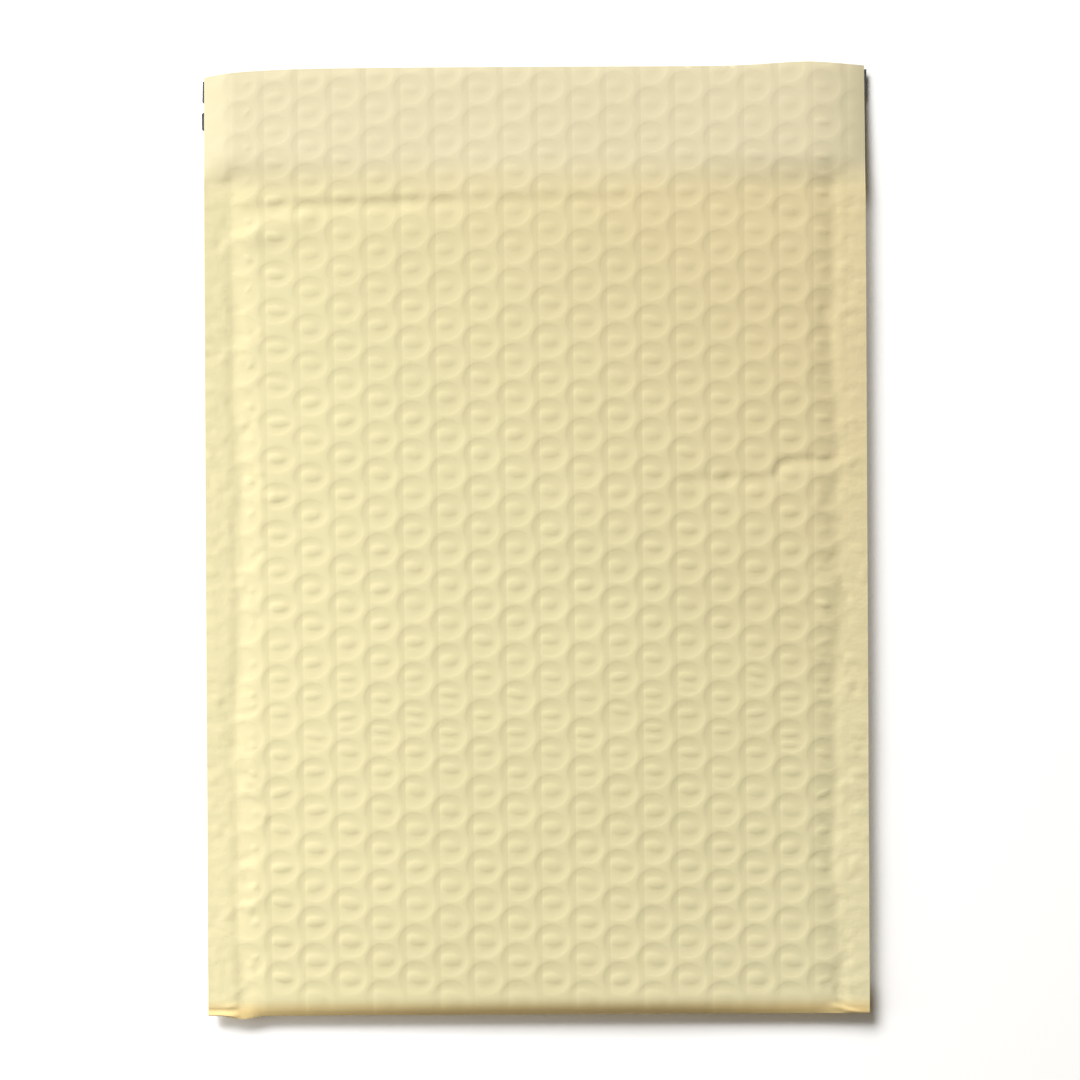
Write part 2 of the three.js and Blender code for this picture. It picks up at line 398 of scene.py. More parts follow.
def dish_at(x, y, next_column):
    bubble, across, along = bubble_at(x, y, next_column)
    aside = across - dish_right[bubble]
    aside = aside / (np.where(aside < 0, dish_half_left, dish_half_right) * dish_wide[bubble])
    ahead = (along - dish_up[bubble]) / (dish_half_length * dish_tall[bubble])
    reach = np.hypot(aside, ahead)
    wall = 1 - np.clip((1 - reach) / dish_rim, 0, 1)
    return reach, dish_depth[bubble] * (1 - wall**dish_power)


def bubble_marks(x, y):
    """Height of the marks, the reach in a dish and in a nub, 1 at the rim, and the nub's height."""
    own_reach, own_dish = dish_at(x, y, 0)
    next_reach, next_dish = dish_at(x, y, 1)

    bubble, across, along = bubble_at(x, y)
    past_line = across + line_offset
    aside = (across - nub_right[bubble]) / nub_long[bubble]
    up = along - nub_up[bubble] - nub_slant[bubble] * across
    nub_reach = np.hypot(aside, up / nub_wide[bubble])
    second_reach = np.hypot(aside, (up + second_below) / second_wide)
    nub = nub_height[bubble] * ease((1 - nub_reach) / nub_rim)
    second = second_height[bubble] * ease((1 - second_reach) / nub_rim)
    nub_here = np.where(second_reach < nub_reach, second_height[bubble], nub_height[bubble])

    line = line_depth[bubble] * np.clip(1 - np.abs(past_line) / line_half_width, 0, 1)
    to_next = (column_pitch / 2 - across) / (column_pitch / 2 + line_offset)
    step = step_height * ease(past_line / step_run) * to_next
    relief = (nub + second) * ease(past_line / nub_rise) + step - line - np.maximum(own_dish, next_dish)
    return relief, np.minimum(own_reach, next_reach), np.minimum(nub_reach, second_reach), nub_here


middle_bubble = np.array([column_pitch / 2]), np.array([0.0])
print("relief in a middle bubble:", np.round(bubble_marks(*middle_bubble)[0] / MM, 3), "mm")

# %% [markdown]
# ## Where the marks fade
# The seals press the bubbles almost flat and the fold stretches the film smooth, so the marks fade
# towards both. On the flap the film lies looser on its lining and the marks are softer.
# `marks_strength` is the share of the relief that is left at each place.

# %% Strength of the marks
flap_marks = 0.78
seal_marks = 0.3
seal_fade = 5 * MM
fade_on_seal = 0.3
flap_edge_fade = 8 * MM
fold_fade_start = 4.5 * MM
fold_fade_run = 5 * MM


def marks_strength(x, y):
    on_body = mix(seal_marks, 1, ease((inside_weld(x, y) + fade_on_seal * seal_fade) / seal_fade))
    on_flap = flap_marks * ease((half_width - np.abs(x)) / flap_edge_fade)
    near_fold = ease((y - fold_y - fold_fade_start) / fold_fade_run)
    return mix(on_body, on_flap, onto_flap(y)) * near_fold


print("marks left on the flap:", round(float(marks_strength(0, flap_end_y)), 2))

# %% [markdown]
# ## Creases, crimps and slack
# An empty mailer keeps traces of handling. The clearest is the crease across its upper left, where
# the flap was folded over. Each crease is a groove along a straight stretch, given by its two ends,
# its depth and its half width in millimetres, and a negative depth makes a ridge. Its upper flank
# is steep and its lower one runs out softly.

# %% Grooves
creases = [
    ((-98, 108.7), (-74, 110.3), 0.4, 2),
    ((-80, 110.2), (-57, 110), 0.55, 1.9),
    ((-63, 110), (-40, 110.8), 0.6, 1.9),
    ((-48, 110.8), (-22, 111), 0.5, 2),
    ((-36, 110.8), (44, 111), 0.3, 2.3),
    ((30, 111), (100, 114.5), 0.15, 2.6),
    ((-109, 116.8), (-97, 117.2), 0.4, 1.8),
    ((-104, 96.5), (-86, 103), -0.35, 2.8),
    ((-98, 99), (-70, 107), -0.4, 2.6),
    ((-92, 13.5), (-84, 17), -0.3, 1.4),
    ((47, 20), (66, 20.2), 0.28, 1.8),
    ((59, 20.2), (80, 20.5), 0.32, 1.8),
    ((77.5, 19.5), (80.5, 27), 0.35, 1.4),
    ((78, 26.2), (100, 26.4), 0.5, 1.4),
    ((62, 110), (94, 104), 0.2, 2),
    ((94.5, -151.6), (108.5, -155.6), -0.9, 0.6),
    ((97, -148.5), (99.5, -144.5), 0.35, 0.9),
    ((96, -147.5), (101.5, -147), 0.3, 0.9),
]
lower_flank = 1.9
end_fade = 0.25


def groove(x, y, start, end, depth, half_wide):
    run = math.hypot(end[0] - start[0], end[1] - start[1])
    ahead = ((end[0] - start[0]) / run, (end[1] - start[1]) / run)
    along = (x - start[0] * MM) * ahead[0] + (y - start[1] * MM) * ahead[1]
    across = (y - start[1] * MM) * ahead[0] - (x - start[0] * MM) * ahead[1]
    fade = end_fade * run * MM
    ends = ease(along / fade) * ease((run * MM - along) / fade)
    wide = half_wide * MM * np.where(across < 0, lower_flank, 1)
    return -depth * MM * ends * hill(across, wide)


print("longest crease:", max(round(math.dist(start, end)) for start, end, _, _ in creases), "mm")

# %% [markdown]
# The welding bar leaves small crimps across the seals, and the film beside them is pulled into
# short wrinkles, weaker on the right. Both are the same grooves, short, shallow and many, so a
# seeded generator places them. The slack of the film is a sum of a few long waves.

# %% Crimps, wrinkles and waves
handling = np.random.default_rng(11)
grooves_top = 120
grooves_reach = 272
low_bias = 0.85
half_widths_out = 4
wave_count = 9
wave_lengths = (30, 110)
wave_sizes = (0.02, 0.07)


def short_grooves(side, count, near_x, far_x, reaches, lean_spread, depths, half_widths):
    made = []
    for _ in range(count):
        middle_x = side * handling.uniform(near_x, far_x)
        middle_y = grooves_top - grooves_reach * handling.uniform(0, 1) ** low_bias
        reach = handling.uniform(*reaches)
        lean = handling.normal(0, lean_spread)
        start = (middle_x - reach, middle_y - reach * lean)
        end = (middle_x + reach, middle_y + reach * lean)
        made.append((start, end, handling.uniform(*depths), handling.uniform(*half_widths)))
    return made


small_grooves = []
for side, wrinkle in ((-1, 0.32), (1, 0.17)):
    small_grooves += short_grooves(
        side, count=130, near_x=99, far_x=107.5, reaches=(1, 3.6), lean_spread=0.4,
        depths=(-0.2, 0.2), half_widths=(0.7, 1.1),
    )
    small_grooves += short_grooves(
        side, count=75, near_x=89, far_x=99, reaches=(1.2, 4), lean_spread=0.8,
        depths=(-wrinkle, wrinkle), half_widths=(0.7, 1.2),
    )

waves = []
for _ in range(wave_count):
    heading = handling.uniform(0, math.pi)
    length = handling.uniform(*wave_lengths) * MM
    turns = (2 * math.pi * math.cos(heading) / length, 2 * math.pi * math.sin(heading) / length)
    waves.append((turns, handling.uniform(0, 2 * math.pi), handling.uniform(*wave_sizes) * MM))


def handling_marks(x, y):
    height = np.zeros_like(x)
    for turns, phase, size in waves:
        height += size * np.sin(x * turns[0] + y * turns[1] + phase)
    for start, end, depth, half_wide in creases + small_grooves:
        reach = half_widths_out * half_wide * MM
        near = (x > start[0] * MM - reach) & (x < end[0] * MM + reach)
        near &= (y > min(start[1], end[1]) * MM - reach) & (y < max(start[1], end[1]) * MM + reach)
        height[near] += groove(x[near], y[near], start, end, depth, half_wide)
    return height


print("handling:", len(creases), "creases and", len(small_grooves), "crimps and wrinkles")

# %% [markdown]
# ## A web as a rolled grid
# A web has a fine outer face and a plain inner one. Two grids could be bridged, but they have
# different numbers of points. So one grid is rolled into a flat tube instead: most of its columns
# lie on the outer face, the last few come back along the inner face, and the first and the last
# column are welded. Closing the two open ends then makes a solid without a gap. `outer` and `inner`
# say where a column and a row of the grid go. Each vertex also remembers its column, its reach in
# its dish and in its nub, the nub's height and the strength of the marks there, for the film's
# finish.

# %% Rolling a grid into a closed web
same_place = 0.0005 * MM
sharp_angle = math.radians(48)


def rolled_web(name, outer_count, inner_count, row_count, outer, inner):
    around = outer_count + inner_count
    net = bmesh.new()
    bmesh.ops.create_grid(net, x_segments=around, y_segments=row_count - 1, size=1)
    mesh = bpy.data.meshes.new(name)
    net.to_mesh(mesh)
    net.free()

    place = np.empty(3 * len(mesh.vertices))
    mesh.vertices.foreach_get("co", place)
    place = place.reshape(-1, 3)
    column = np.round((place[:, 0] + 1) / 2 * around).astype(int) % around
    row = np.round((place[:, 1] + 1) / 2 * (row_count - 1)).astype(int)
    is_outer = column < outer_count
    film_place = np.zeros_like(place)
    nub_place = np.zeros_like(place)
    place[is_outer], film_place[is_outer], nub_place[is_outer] = outer(column[is_outer], row[is_outer])
    place[~is_outer] = inner(around - 1 - column[~is_outer], row[~is_outer])
    mesh.vertices.foreach_set("co", place.ravel())
    for label, values in (("film_place", film_place), ("nub_place", nub_place)):
        stored = mesh.attributes.new(label, "FLOAT_VECTOR", "POINT")
        stored.data.foreach_set("vector", values.ravel())

    net = bmesh.new()
    net.from_mesh(mesh)
    bmesh.ops.remove_doubles(net, verts=net.verts, dist=same_place)
    rims = [edge for edge in net.edges if edge.is_boundary]
    caps = bmesh.ops.holes_fill(net, edges=rims, sides=0)["faces"]
    bmesh.ops.triangulate(net, faces=caps, ngon_method="EAR_CLIP")
    bmesh.ops.recalc_face_normals(net, faces=net.faces)
    for face in net.faces:
        face.smooth = True
    for edge in net.edges:
        edge.smooth = edge.calc_face_angle(0) < sharp_angle
    open_edges = sum(1 for edge in net.edges if not edge.is_manifold)
    triangles = sum(len(face.verts) - 2 for face in net.faces)
    volume = net.calc_volume(signed=True)
    net.to_mesh(mesh)
    net.free()
    web = bpy.data.objects.new(name, mesh)
    bpy.context.scene.collection.objects.link(web)
    print(name, triangles, "triangles,", open_edges, "open edges,", round(volume * 1e6, 1), "cubic cm")
    return web


# %% [markdown]
# ## The back panel and the flap
# This is the fine face that the camera looks at. Its vertices are about a thirteenth of the
# bubbles' pitch apart both ways. Its rows run from the flap's cut end down the panel, round the
# folded bottom and stop under it, where the front panel takes over. The fold is pressed to an edge:
# the film comes down to it in a steepening curve and turns back below. At the corners the weld has
# pressed the fold flat, so the turn is much tighter there.

# %% Columns and rows of the back panel
columns_per_pitch = 13
rows_per_pitch = 13
fold_steps = 18
lining_columns = 14
least_step = 0.3


def columns_across(step):
    """Even columns about the middle and one on each edge, none of them too close to it."""
    aside = int((half_width - least_step * step) / step)
    return np.concatenate([[-half_width], np.arange(-aside, aside + 1) * step, [half_width]])


back_x = columns_across(column_pitch / columns_per_pitch)
lining_x = np.linspace(-half_width, half_width, lining_columns)

panel_steps = int((flap_end_y - fold_tangent_y) / (row_pitch / rows_per_pitch))
panel_y = np.linspace(flap_end_y, fold_tangent_y, panel_steps)
back_rows = np.concatenate([panel_y, np.full(fold_steps, fold_tangent_y)])
back_turn = np.concatenate([np.zeros(panel_steps), np.linspace(0, math.pi, fold_steps + 1)[1:]])
print("back panel:", len(back_x), "columns,", len(back_rows), "rows")

# %% [markdown]
# The cut end isn't straight: it hangs back at its left corner and bulges out near the right one.
# The fold has a small ear that sticks out where the left seal meets it. `outlined_y` moves the rows
# of the grid along to follow both.

# %% Outline of the back panel
end_out = 0.5 * MM
corner_droop = 2.7 * MM
corner_droop_run = 16 * MM
end_hump = 1.3 * MM
end_hump_x = 89 * MM
end_hump_run = 16 * MM
corner_fold_run = 3 * MM
corner_start = 105.5 * MM
corner_run = 10 * MM
fold_reach = 16 * MM
ear_x = -96.5 * MM
ear_run = 4.5 * MM
ear_dip = 1 * MM


def cut_end_shift(x):
    droop = corner_droop * np.exp(-((x + half_width) / corner_droop_run))
    return end_out + end_hump * hill(x - end_hump_x, end_hump_run) - droop


def fold_run_at(x):
    return mix(corner_fold_run, fold_run, ease((corner_start - np.abs(x)) / corner_run))


def outlined_y(x, y):
    to_fold = np.clip((fold_y + fold_reach - y) / (fold_reach - fold_run), 0, 1)
    to_end = ease((y - mouth_y) / flap_length)
    ear = ear_dip * hill(x - ear_x, ear_run)
    return y + to_fold * (fold_run_at(x) - fold_run - ear) + to_end * cut_end_shift(x)


print("cut end:", np.round(cut_end_shift(np.array([-half_width, 0, end_hump_x])) / MM, 2), "mm out")

# %% [markdown]
# Now each vertex gets its place: the height of the section, the bubbles' marks and the traces of
# handling, carried round the fold. The marks could be a displacement modifier, but then the fold
# would have to be made after it. The inner face is the plain lining, and a thin web is left
# everywhere.

# %% Vertices of the back panel
inner_fold_run = 0.4 * MM
lining_gap = 0.02 * MM
least_web = 0.15 * MM
fold_power = 2.5
under_power = 0.5
lip_start = 97 * MM
lip_start_run = 3 * MM
lip_right_share = 0.25
lip_height = 0.5 * MM
lip_run = 1.3 * MM
lip_groove = 0.35 * MM
lip_groove_out = 1.9 * MM
lip_groove_wide = 0.7 * MM


def corner_lip(x, y):
    """The hard ridge across each corner, where the weld meets the fold, and the groove beside it."""
    at_corner = ease((np.abs(x) - lip_start) / lip_start_run) * np.where(x < 0, 1, lip_right_share)
    out = y - fold_y
    dip = lip_groove * hill(out - lip_groove_out, lip_groove_wide)
    return at_corner * (lip_height * ease(1 - out / lip_run) - dip)


def back_outer(column, row):
    x = back_x[column]
    turn = back_turn[row]
    above = turn < math.pi / 2
    down = np.where(above, 2 * turn / math.pi, np.abs(np.sin(turn)) ** under_power)
    y = outlined_y(x, back_rows[row]) - fold_run_at(x) * down

    relief, reach, nub_reach, nub_here = bubble_marks(x, back_rows[row])
    strength = marks_strength(x, back_rows[row])
    top = back_top(x, back_rows[row]) + strength * relief + handling_marks(x, y)
    top = np.maximum(top, back_lining(x, back_rows[row]) + least_web)
    middle = body_middle(x, back_rows[row])
    below = middle - body_bottom(x, back_rows[row])
    upper = (top - middle) * (1 - down**fold_power) + corner_lip(x, y)
    z = middle + np.where(above, upper, below * np.cos(turn))
    columns_along = lattice_place(x, back_rows[row])[0] / column_pitch + half_columns
    film_place = np.column_stack([columns_along, reach, strength])
    nub_place = np.column_stack([nub_reach, nub_here / MM, strength])
    return np.column_stack([x, y, z]), film_place, nub_place


def back_inner(column, row):
    x = lining_x[column]
    turn = back_turn[row]
    middle = body_middle(x, back_rows[row])
    half_gap = np.maximum(back_lining(x, fold_tangent_y) - middle, lining_gap)
    flat_lining = back_lining(x, back_rows[row]) + lining_gap
    lining = np.where(turn > 0, middle + half_gap * np.cos(turn), flat_lining)
    return np.column_stack([x, outlined_y(x, back_rows[row]) - inner_fold_run * np.sin(turn), lining])


back_panel = rolled_web(
    "back_panel_and_flap", len(back_x), len(lining_x), len(back_rows), back_outer, back_inner
)

# %% [markdown]
# ## The front panel
# The mailer lies on this side, so only its welded edges and its rounded shoulders show. It is the
# same kind of web, with larger steps. Its bubbles print as plain round hollows. It starts under the
# fold, where the back panel's web ends, and stops at the pocket's mouth.

# %% Vertices of the front panel
front_columns_per_pitch = 8
front_rows_per_pitch = 8
hollow_depth = 0.45 * MM
hollow_radius = 5.5 * MM
hollow_rim = 0.6

front_x = columns_across(column_pitch / front_columns_per_pitch)
front_steps = int((mouth_y - fold_tangent_y) / (row_pitch / front_rows_per_pitch))
front_rows = np.linspace(fold_tangent_y, mouth_y, front_steps)


def hollows(x, y):
    _, across, along = bubble_at(x, y)
    reach = np.hypot(across, along) / hollow_radius
    clear = np.minimum(seal_edge_x - np.abs(x), np.minimum(y - fold_tangent_y, mouth_y - y))
    return hollow_depth * ease((1 - reach) / hollow_rim) * ease(clear / seal_fade)


def front_weld(x, y):
    return mix(weld_height(x, y), np.minimum(weld_height(x, y), flap_inner(y)), onto_flap(y))


def front_outer(column, row):
    x = front_x[column]
    y = front_rows[row]
    low = mix(front_weld(x, y) - pressed_thickness, 0, front_shoulder(x))
    place = np.column_stack([x, outlined_y(x, y), low + hollows(x, y)])
    return place, np.zeros_like(place), np.zeros_like(place)


def front_inner(column, row):
    x = lining_x[column]
    y = front_rows[row]
    floor = mix(front_weld(x, y), web_thickness, front_shoulder(x))
    return np.column_stack([x, outlined_y(x, y), floor - lining_gap])


front_panel = rolled_web(
    "front_panel", len(front_x), len(lining_x), len(front_rows), front_outer, front_inner
)

# %% [markdown]
# ## The release liner
# Under the flap a strip of slick film covers the glue, and its two ends stick out a little beside
# the flap. They are cut at machine speed, so they are never straight: two short lists give how far
# each end stands out along its width. The strip follows the flap's own outline. A grid moved to its
# place and given its thickness by extruding it is all it needs.

# %% Release liner
liner_low, liner_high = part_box("release_liner")
liner_thickness = 0.15 * MM
liner_below_flap = 0.95 * MM
left_end_out = (
    (0.07, -0.9), (0.12, 0.8), (0.43, 0.9), (0.48, -0.9), (0.58, -0.9), (0.63, 0.7), (1, 0.6)
)
right_end_out = ((0, -0.6), (0.53, -0.5), (0.59, 0.7), (1, 0.9))
end_power = 30
liner_columns = 120
liner_rows = 40


def liner_place(across, along):
    y = mix(liner_low.y, liner_high.y, along)
    side = 2 * across - 1
    out = np.interp(along, *zip(*(left_end_out if side < 0 else right_end_out))) * MM
    x = side * half_width + np.sign(side) * abs(side) ** end_power * out
    y += ease((y - mouth_y) / flap_length) * cut_end_shift(x)
    z = flap_inner(y) - liner_below_flap
    return x, y, z


liner_net = bmesh.new()
bmesh.ops.create_grid(liner_net, x_segments=liner_columns, y_segments=liner_rows, size=0.5)
for vertex in liner_net.verts:
    vertex.co = liner_place(vertex.co.x + 0.5, vertex.co.y + 0.5)
lifted = bmesh.ops.extrude_face_region(liner_net, geom=liner_net.faces)["geom"]
lifted = [item for item in lifted if isinstance(item, bmesh.types.BMVert)]
bmesh.ops.translate(liner_net, verts=lifted, vec=(0, 0, liner_thickness))
bmesh.ops.recalc_face_normals(liner_net, faces=liner_net.faces)
liner_mesh = bpy.data.meshes.new("release_liner_film")
liner_net.to_mesh(liner_mesh)
liner_net.free()
liner = bpy.data.objects.new("release_liner_film", liner_mesh)
bpy.context.scene.collection.objects.link(liner)
print(liner.name, len(liner_mesh.polygons), "faces")

# %% [markdown]
# ## Helpers for finishes
# A finish is a small network of nodes. Wired one by one, each node takes several lines, so a few
# helpers make the nodes that come up again and again, and return the output that goes on to the
# next node.

# %% Node helpers
def new_finish(name):
    finish = bpy.data.materials.new(name)
    finish.use_nodes = True
    nodes = finish.node_tree.nodes
    return finish, nodes, finish.node_tree.links, nodes["Principled BSDF"]


def noise(nodes, links, vector, scale, detail):
    node = nodes.new("ShaderNodeTexNoise")
    node.inputs["Scale"].default_value = scale
    node.inputs["Detail"].default_value = detail
    links.new(vector, node.inputs["Vector"])
    return node.outputs["Fac"]


def blend(nodes, links, share, first, second):
    """Mix of two colours, each a colour or another node's output."""
    node = nodes.new("ShaderNodeMix")
    node.data_type = "RGBA"
    links.new(share, node.inputs["Factor"])
    for socket, colour in (("A", first), ("B", second)):
        if isinstance(colour, tuple):
            node.inputs[socket].default_value = (*colour, 1)
        else:
            links.new(colour, node.inputs[socket])
    return node.outputs["Result"]


def calculate(nodes, links, operation, *values):
    node = nodes.new("ShaderNodeMath")
    node.operation = operation
    for socket, value in zip(node.inputs, values):
        if isinstance(value, (int, float)):
            socket.default_value = value
        else:
            links.new(value, socket)
    return node.outputs["Value"]


def smooth_range(nodes, links, value, start, end):
    node = nodes.new("ShaderNodeMapRange")
    node.interpolation_type = "SMOOTHSTEP"
    node.inputs["From Min"].default_value = start
    node.inputs["From Max"].default_value = end
    links.new(value, node.inputs["Value"])
    return node.outputs["Result"]


def mixed(nodes, links, share, first, second):
    node = nodes.new("ShaderNodeMixShader")
    links.new(share, node.inputs["Fac"])
    links.new(first, node.inputs[1])
    links.new(second, node.inputs[2])
    return node.outputs["Shader"]


print("six helpers for nodes")

# %% [markdown]
# ## The film's fine marks
# The sharp rim of each dish, the flank of each nub, the fine line of each column and the crimps of
# the seals are narrower than the mesh, so they are bump. They are worked out from what each vertex
# remembers: the whole part of its first number counts the columns and the rest is the place inside
# one, and the second number is the reach in its dish. A finer mesh could hold them too, but it
# would be many times as large.

# %% Fine marks as bump
nub_edge = 0.2
rim_step_mm = 0.035
line_step_mm = 0.02
crimp_mm = 0.13
grain_mm = 0.025
rim_reach = (0.87, 1.0)
line_reach = (0.0, 0.045)
flank_reach = (0.95, 0.45)
line_gap = 0.05
crimp_stretch = (0.85, 1.15, 1)
crimp_scale = 420
grain_scale = 1500


def fine_marks(nodes, links, where, crumpled):
    def remembered(label):
        place = nodes.new("ShaderNodeAttribute")
        place.attribute_name = label
        axes = nodes.new("ShaderNodeSeparateXYZ")
        links.new(place.outputs["Vector"], axes.inputs["Vector"])
        return axes

    def math_of(operation, *values):
        return calculate(nodes, links, operation, *values)

    axes = remembered("film_place")
    rim = math_of("MULTIPLY", smooth_range(nodes, links, axes.outputs["Y"], *rim_reach), rim_step_mm)
    across = math_of("SUBTRACT", math_of("FRACT", axes.outputs["X"]), 0.5)
    from_line = math_of("ABSOLUTE", math_of("ADD", across, line_offset / column_pitch))
    line = math_of("MULTIPLY", smooth_range(nodes, links, from_line, *line_reach), line_step_mm)
    nub = remembered("nub_place")
    near_top = smooth_range(nodes, links, nub.outputs["X"], *flank_reach)
    flank = math_of("MULTIPLY", near_top, nub.outputs["Y"])
    line_place = -line_offset / column_pitch
    past_line = smooth_range(nodes, links, across, line_place, line_place + line_gap)
    flank = math_of("MULTIPLY", math_of("MULTIPLY", flank, past_line), nub_edge)
    bubbles = math_of("MULTIPLY", math_of("ADD", math_of("ADD", rim, line), flank), axes.outputs["Z"])

    flattened = nodes.new("ShaderNodeVectorMath")
    flattened.operation = "MULTIPLY"
    flattened.inputs[1].default_value = crimp_stretch
    links.new(where, flattened.inputs[0])
    folds = noise(nodes, links, flattened.outputs["Vector"], crimp_scale, 2)
    crimps = math_of("MULTIPLY", math_of("MULTIPLY", folds, crimp_mm), crumpled)
    grain = math_of("MULTIPLY", noise(nodes, links, where, grain_scale, 2), grain_mm)
    return math_of("ADD", math_of("ADD", bubbles, crimps), grain)


print("bump from", line_step_mm, "to", crimp_mm, "mm high")

# %% [markdown]
# ## The film's finish
# The film is matte polyethylene with a faint sheen. Its cream colour is never quite even, so two
# close creams are mixed by a soft noise. Towards the upper right corner the colour is painted
# darker and warmer, as painted shade where less light falls, and towards the lower right it is
# painted paler, as painted light. On the flap only one web lies over the white table, and the
# film there looks paler too. Round the fold the colour is a deeper gold: a painted glow of the
# light that comes through the film there and bounces off the table. The pressed seals are thin
# enough to let some light through, which keeps their shadow light. A translucent shader would do
# that for all light, but it is slow and noisy, so here the film is simply part transparent to the
# shadow rays.

# %% Film finish
cream = (0.822, 0.745, 0.437)
pale_cream = (0.843, 0.769, 0.455)
# painted shade: a darker, warmer cream for the upper right corner, where less light falls
shaded_cream = (0.832, 0.709, 0.41)
# painted light: a paler cream for the lower right corner
lit_cream = (0.905, 0.83, 0.515)
flap_cream = (0.836, 0.755, 0.497)
# painted glow: light that comes through the film and bounces off the table round the fold
fold_glow = (0.97, 0.75, 0.35)
cloud_scale = 38
shade_reach = (-20 * MM, 190 * MM)
light_reach = (90 * MM, 270 * MM)
glow_reach = (fold_y + 1 * MM, fold_y + 6 * MM)
corner_reach = (fold_y + 4 * MM, fold_y + 16 * MM)
flap_reach = (crease_y, mouth_y + 3 * MM)
seal_reach = (seal_edge_x - 1 * MM, seal_edge_x + 3 * MM)
crumple_reach = (seal_edge_x - 12 * MM, seal_edge_x + 4 * MM)
film_roughness = 0.55
film_sheen = 0.2
seal_light = 0.66


def film_finish():
    finish, nodes, links, shader = new_finish("cream_film")
    where = nodes.new("ShaderNodeTexCoord").outputs["Object"]
    axes = nodes.new("ShaderNodeSeparateXYZ")
    links.new(where, axes.inputs["Vector"])
    body_colour = blend(nodes, links, noise(nodes, links, where, cloud_scale, 3), cream, pale_cream)
    # painted shade, darker and warmer towards the upper right corner
    to_corner = calculate(nodes, links, "ADD", axes.outputs["X"], axes.outputs["Y"])
    painted_shade = smooth_range(nodes, links, to_corner, *shade_reach)
    body_colour = blend(nodes, links, painted_shade, body_colour, shaded_cream)
    # painted light, paler towards the lower right corner
    to_low_corner = calculate(nodes, links, "SUBTRACT", axes.outputs["X"], axes.outputs["Y"])
    painted_light = smooth_range(nodes, links, to_low_corner, *light_reach)
    body_colour = blend(nodes, links, painted_light, body_colour, lit_cream)
    on_flap = smooth_range(nodes, links, axes.outputs["Y"], *flap_reach)
    film_colour = blend(nodes, links, on_flap, body_colour, flap_cream)
    # painted glow round the fold, in a deeper gold
    off_fold = smooth_range(nodes, links, axes.outputs["Y"], *glow_reach)
    links.new(blend(nodes, links, off_fold, fold_glow, film_colour), shader.inputs["Base Color"])

    from_middle = calculate(nodes, links, "ABSOLUTE", axes.outputs["X"])
    beside = smooth_range(nodes, links, from_middle, *seal_reach)
    on_body = calculate(nodes, links, "SUBTRACT", 1, on_flap)
    on_seal = calculate(nodes, links, "MULTIPLY", beside, on_body)
    near_seal = smooth_range(nodes, links, from_middle, *crumple_reach)
    crumpled = calculate(nodes, links, "MULTIPLY", near_seal, on_body)
    bump = nodes.new("ShaderNodeBump")
    bump.inputs["Strength"].default_value = 1
    bump.inputs["Distance"].default_value = MM
    links.new(fine_marks(nodes, links, where, crumpled), bump.inputs["Height"])
    links.new(bump.outputs["Normal"], shader.inputs["Normal"])
    shader.inputs["Roughness"].default_value = film_roughness
    shader.inputs["Specular IOR Level"].default_value = film_sheen

    ray = nodes.new("ShaderNodeLightPath")
    above_corner = smooth_range(nodes, links, axes.outputs["Y"], *corner_reach)
    let_through = calculate(nodes, links, "MULTIPLY", on_seal, above_corner)
    let_through = calculate(nodes, links, "MULTIPLY", let_through, ray.outputs["Is Shadow Ray"])
    let_through = calculate(nodes, links, "MULTIPLY", let_through, seal_light)
    clear = nodes.new("ShaderNodeBsdfTransparent").outputs["BSDF"]
    layers = mixed(nodes, links, let_through, shader.outputs["BSDF"], clear)
    links.new(layers, nodes["Material Output"].inputs["Surface"])
    return finish


cream_film = film_finish()
for web in (back_panel, front_panel):
    web.data.materials.append(cream_film)
    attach(web, "root")
    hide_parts("padded_envelope")
print("film on", back_panel.name, "and", front_panel.name)

# %% [markdown]
# ## Liner and glue finishes
# The liner is slick film that mirrors the dark room around it, so its ends look almost black with
# white glints. That reflection is painted into its colour: a near-black, smooth shader with a
# clear coat, which looks so under any light. The glue is a soft, tacky amber.

# %% Liner and glue
def two_tone_finish(name, first, second, scale, roughness):
    finish, nodes, links, shader = new_finish(name)
    where = nodes.new("ShaderNodeTexCoord").outputs["Object"]
    tone = blend(nodes, links, noise(nodes, links, where, scale, 2), first, second)
    links.new(tone, shader.inputs["Base Color"])
    shader.inputs["Roughness"].default_value = roughness
    return finish, shader


# painted reflection: the liner's near-black colour stands in for the dark room it mirrors
dark_reflection_liner, liner_shader = two_tone_finish(
    "dark_reflection_liner", (0.02, 0.022, 0.03), (0.05, 0.055, 0.065), 160, 0.12
)
liner_shader.inputs["Coat Weight"].default_value = 0.5
liner.data.materials.append(dark_reflection_liner)
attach(liner, "root")
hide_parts("release_liner")

tacky_glue, _ = two_tone_finish("tacky_glue", (0.75, 0.66, 0.42), (0.8, 0.72, 0.5), 220, 0.3)
glue_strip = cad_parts["adhesive_strip"]
glue_strip.data.materials.clear()
glue_strip.data.materials.append(tacky_glue)
print("liner and glue finished")

# %% [markdown]
# ## The table
# The mailer lies on a white table. More light would turn a table white, but the film with it. So
# the table is painted whiter for the camera and for reflections than for the light it throws back
# on the film, and it still keeps the shadow. Further away it turns into a plain white sweep.

# %% Table
table_half_width = 0.7
table_drop = 0.05 * MM
sweep_start = 280 * MM
sweep_end = 500 * MM


def shows_background(nodes, links):
    """1 for what the camera sees, also in a mirror or through glass, and 0 for light on the object."""
    ray = nodes.new("ShaderNodeLightPath")
    mirrored = calculate(
        nodes, links, "MAXIMUM", ray.outputs["Is Glossy Ray"], ray.outputs["Is Transmission Ray"]
    )
    return calculate(nodes, links, "MAXIMUM", ray.outputs["Is Camera Ray"], mirrored)


